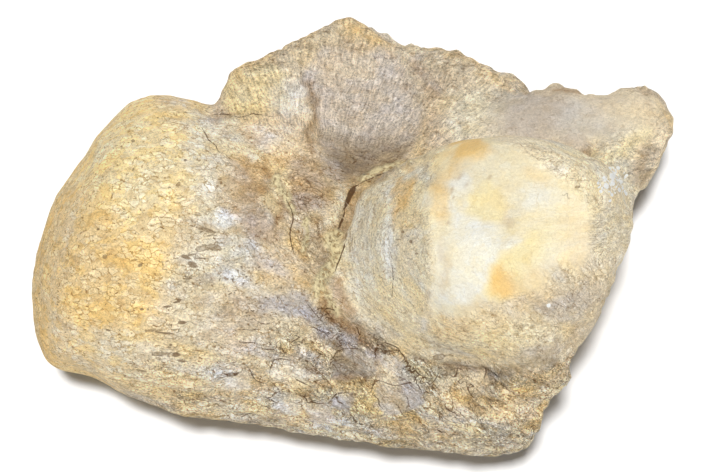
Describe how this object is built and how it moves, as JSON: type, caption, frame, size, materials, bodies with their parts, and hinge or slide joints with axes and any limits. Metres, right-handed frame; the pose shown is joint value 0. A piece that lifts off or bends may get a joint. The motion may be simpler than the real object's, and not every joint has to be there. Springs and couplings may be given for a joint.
{
  "type": "fossil mosasaur vertebra",
  "caption": "Fossil trunk vertebra of a mosasaur lying on its side: domed condyle, hollow cotyle, worn side process and broken neural arch.",
  "frame": {"origin": "middle of the footprint, on the surface the bone lies on", "axes": "+X to the animal's front, the hollow cotyle; +Y dorsal, the broken neural arch; +Z out of the bone's right side, which faces up"},
  "size_m": [0.0997, 0.0682, 0.0634],
  "materials": {
    "fossil_bone": "matt mineralised bone, ochre and cream with lavender-grey patches, finely pored, grooved and cracked, with sandy matrix in its grooves"
  },
  "bodies": {
    "root": {"vertebra": "fossil_bone"}
  },
  "joints": []
}
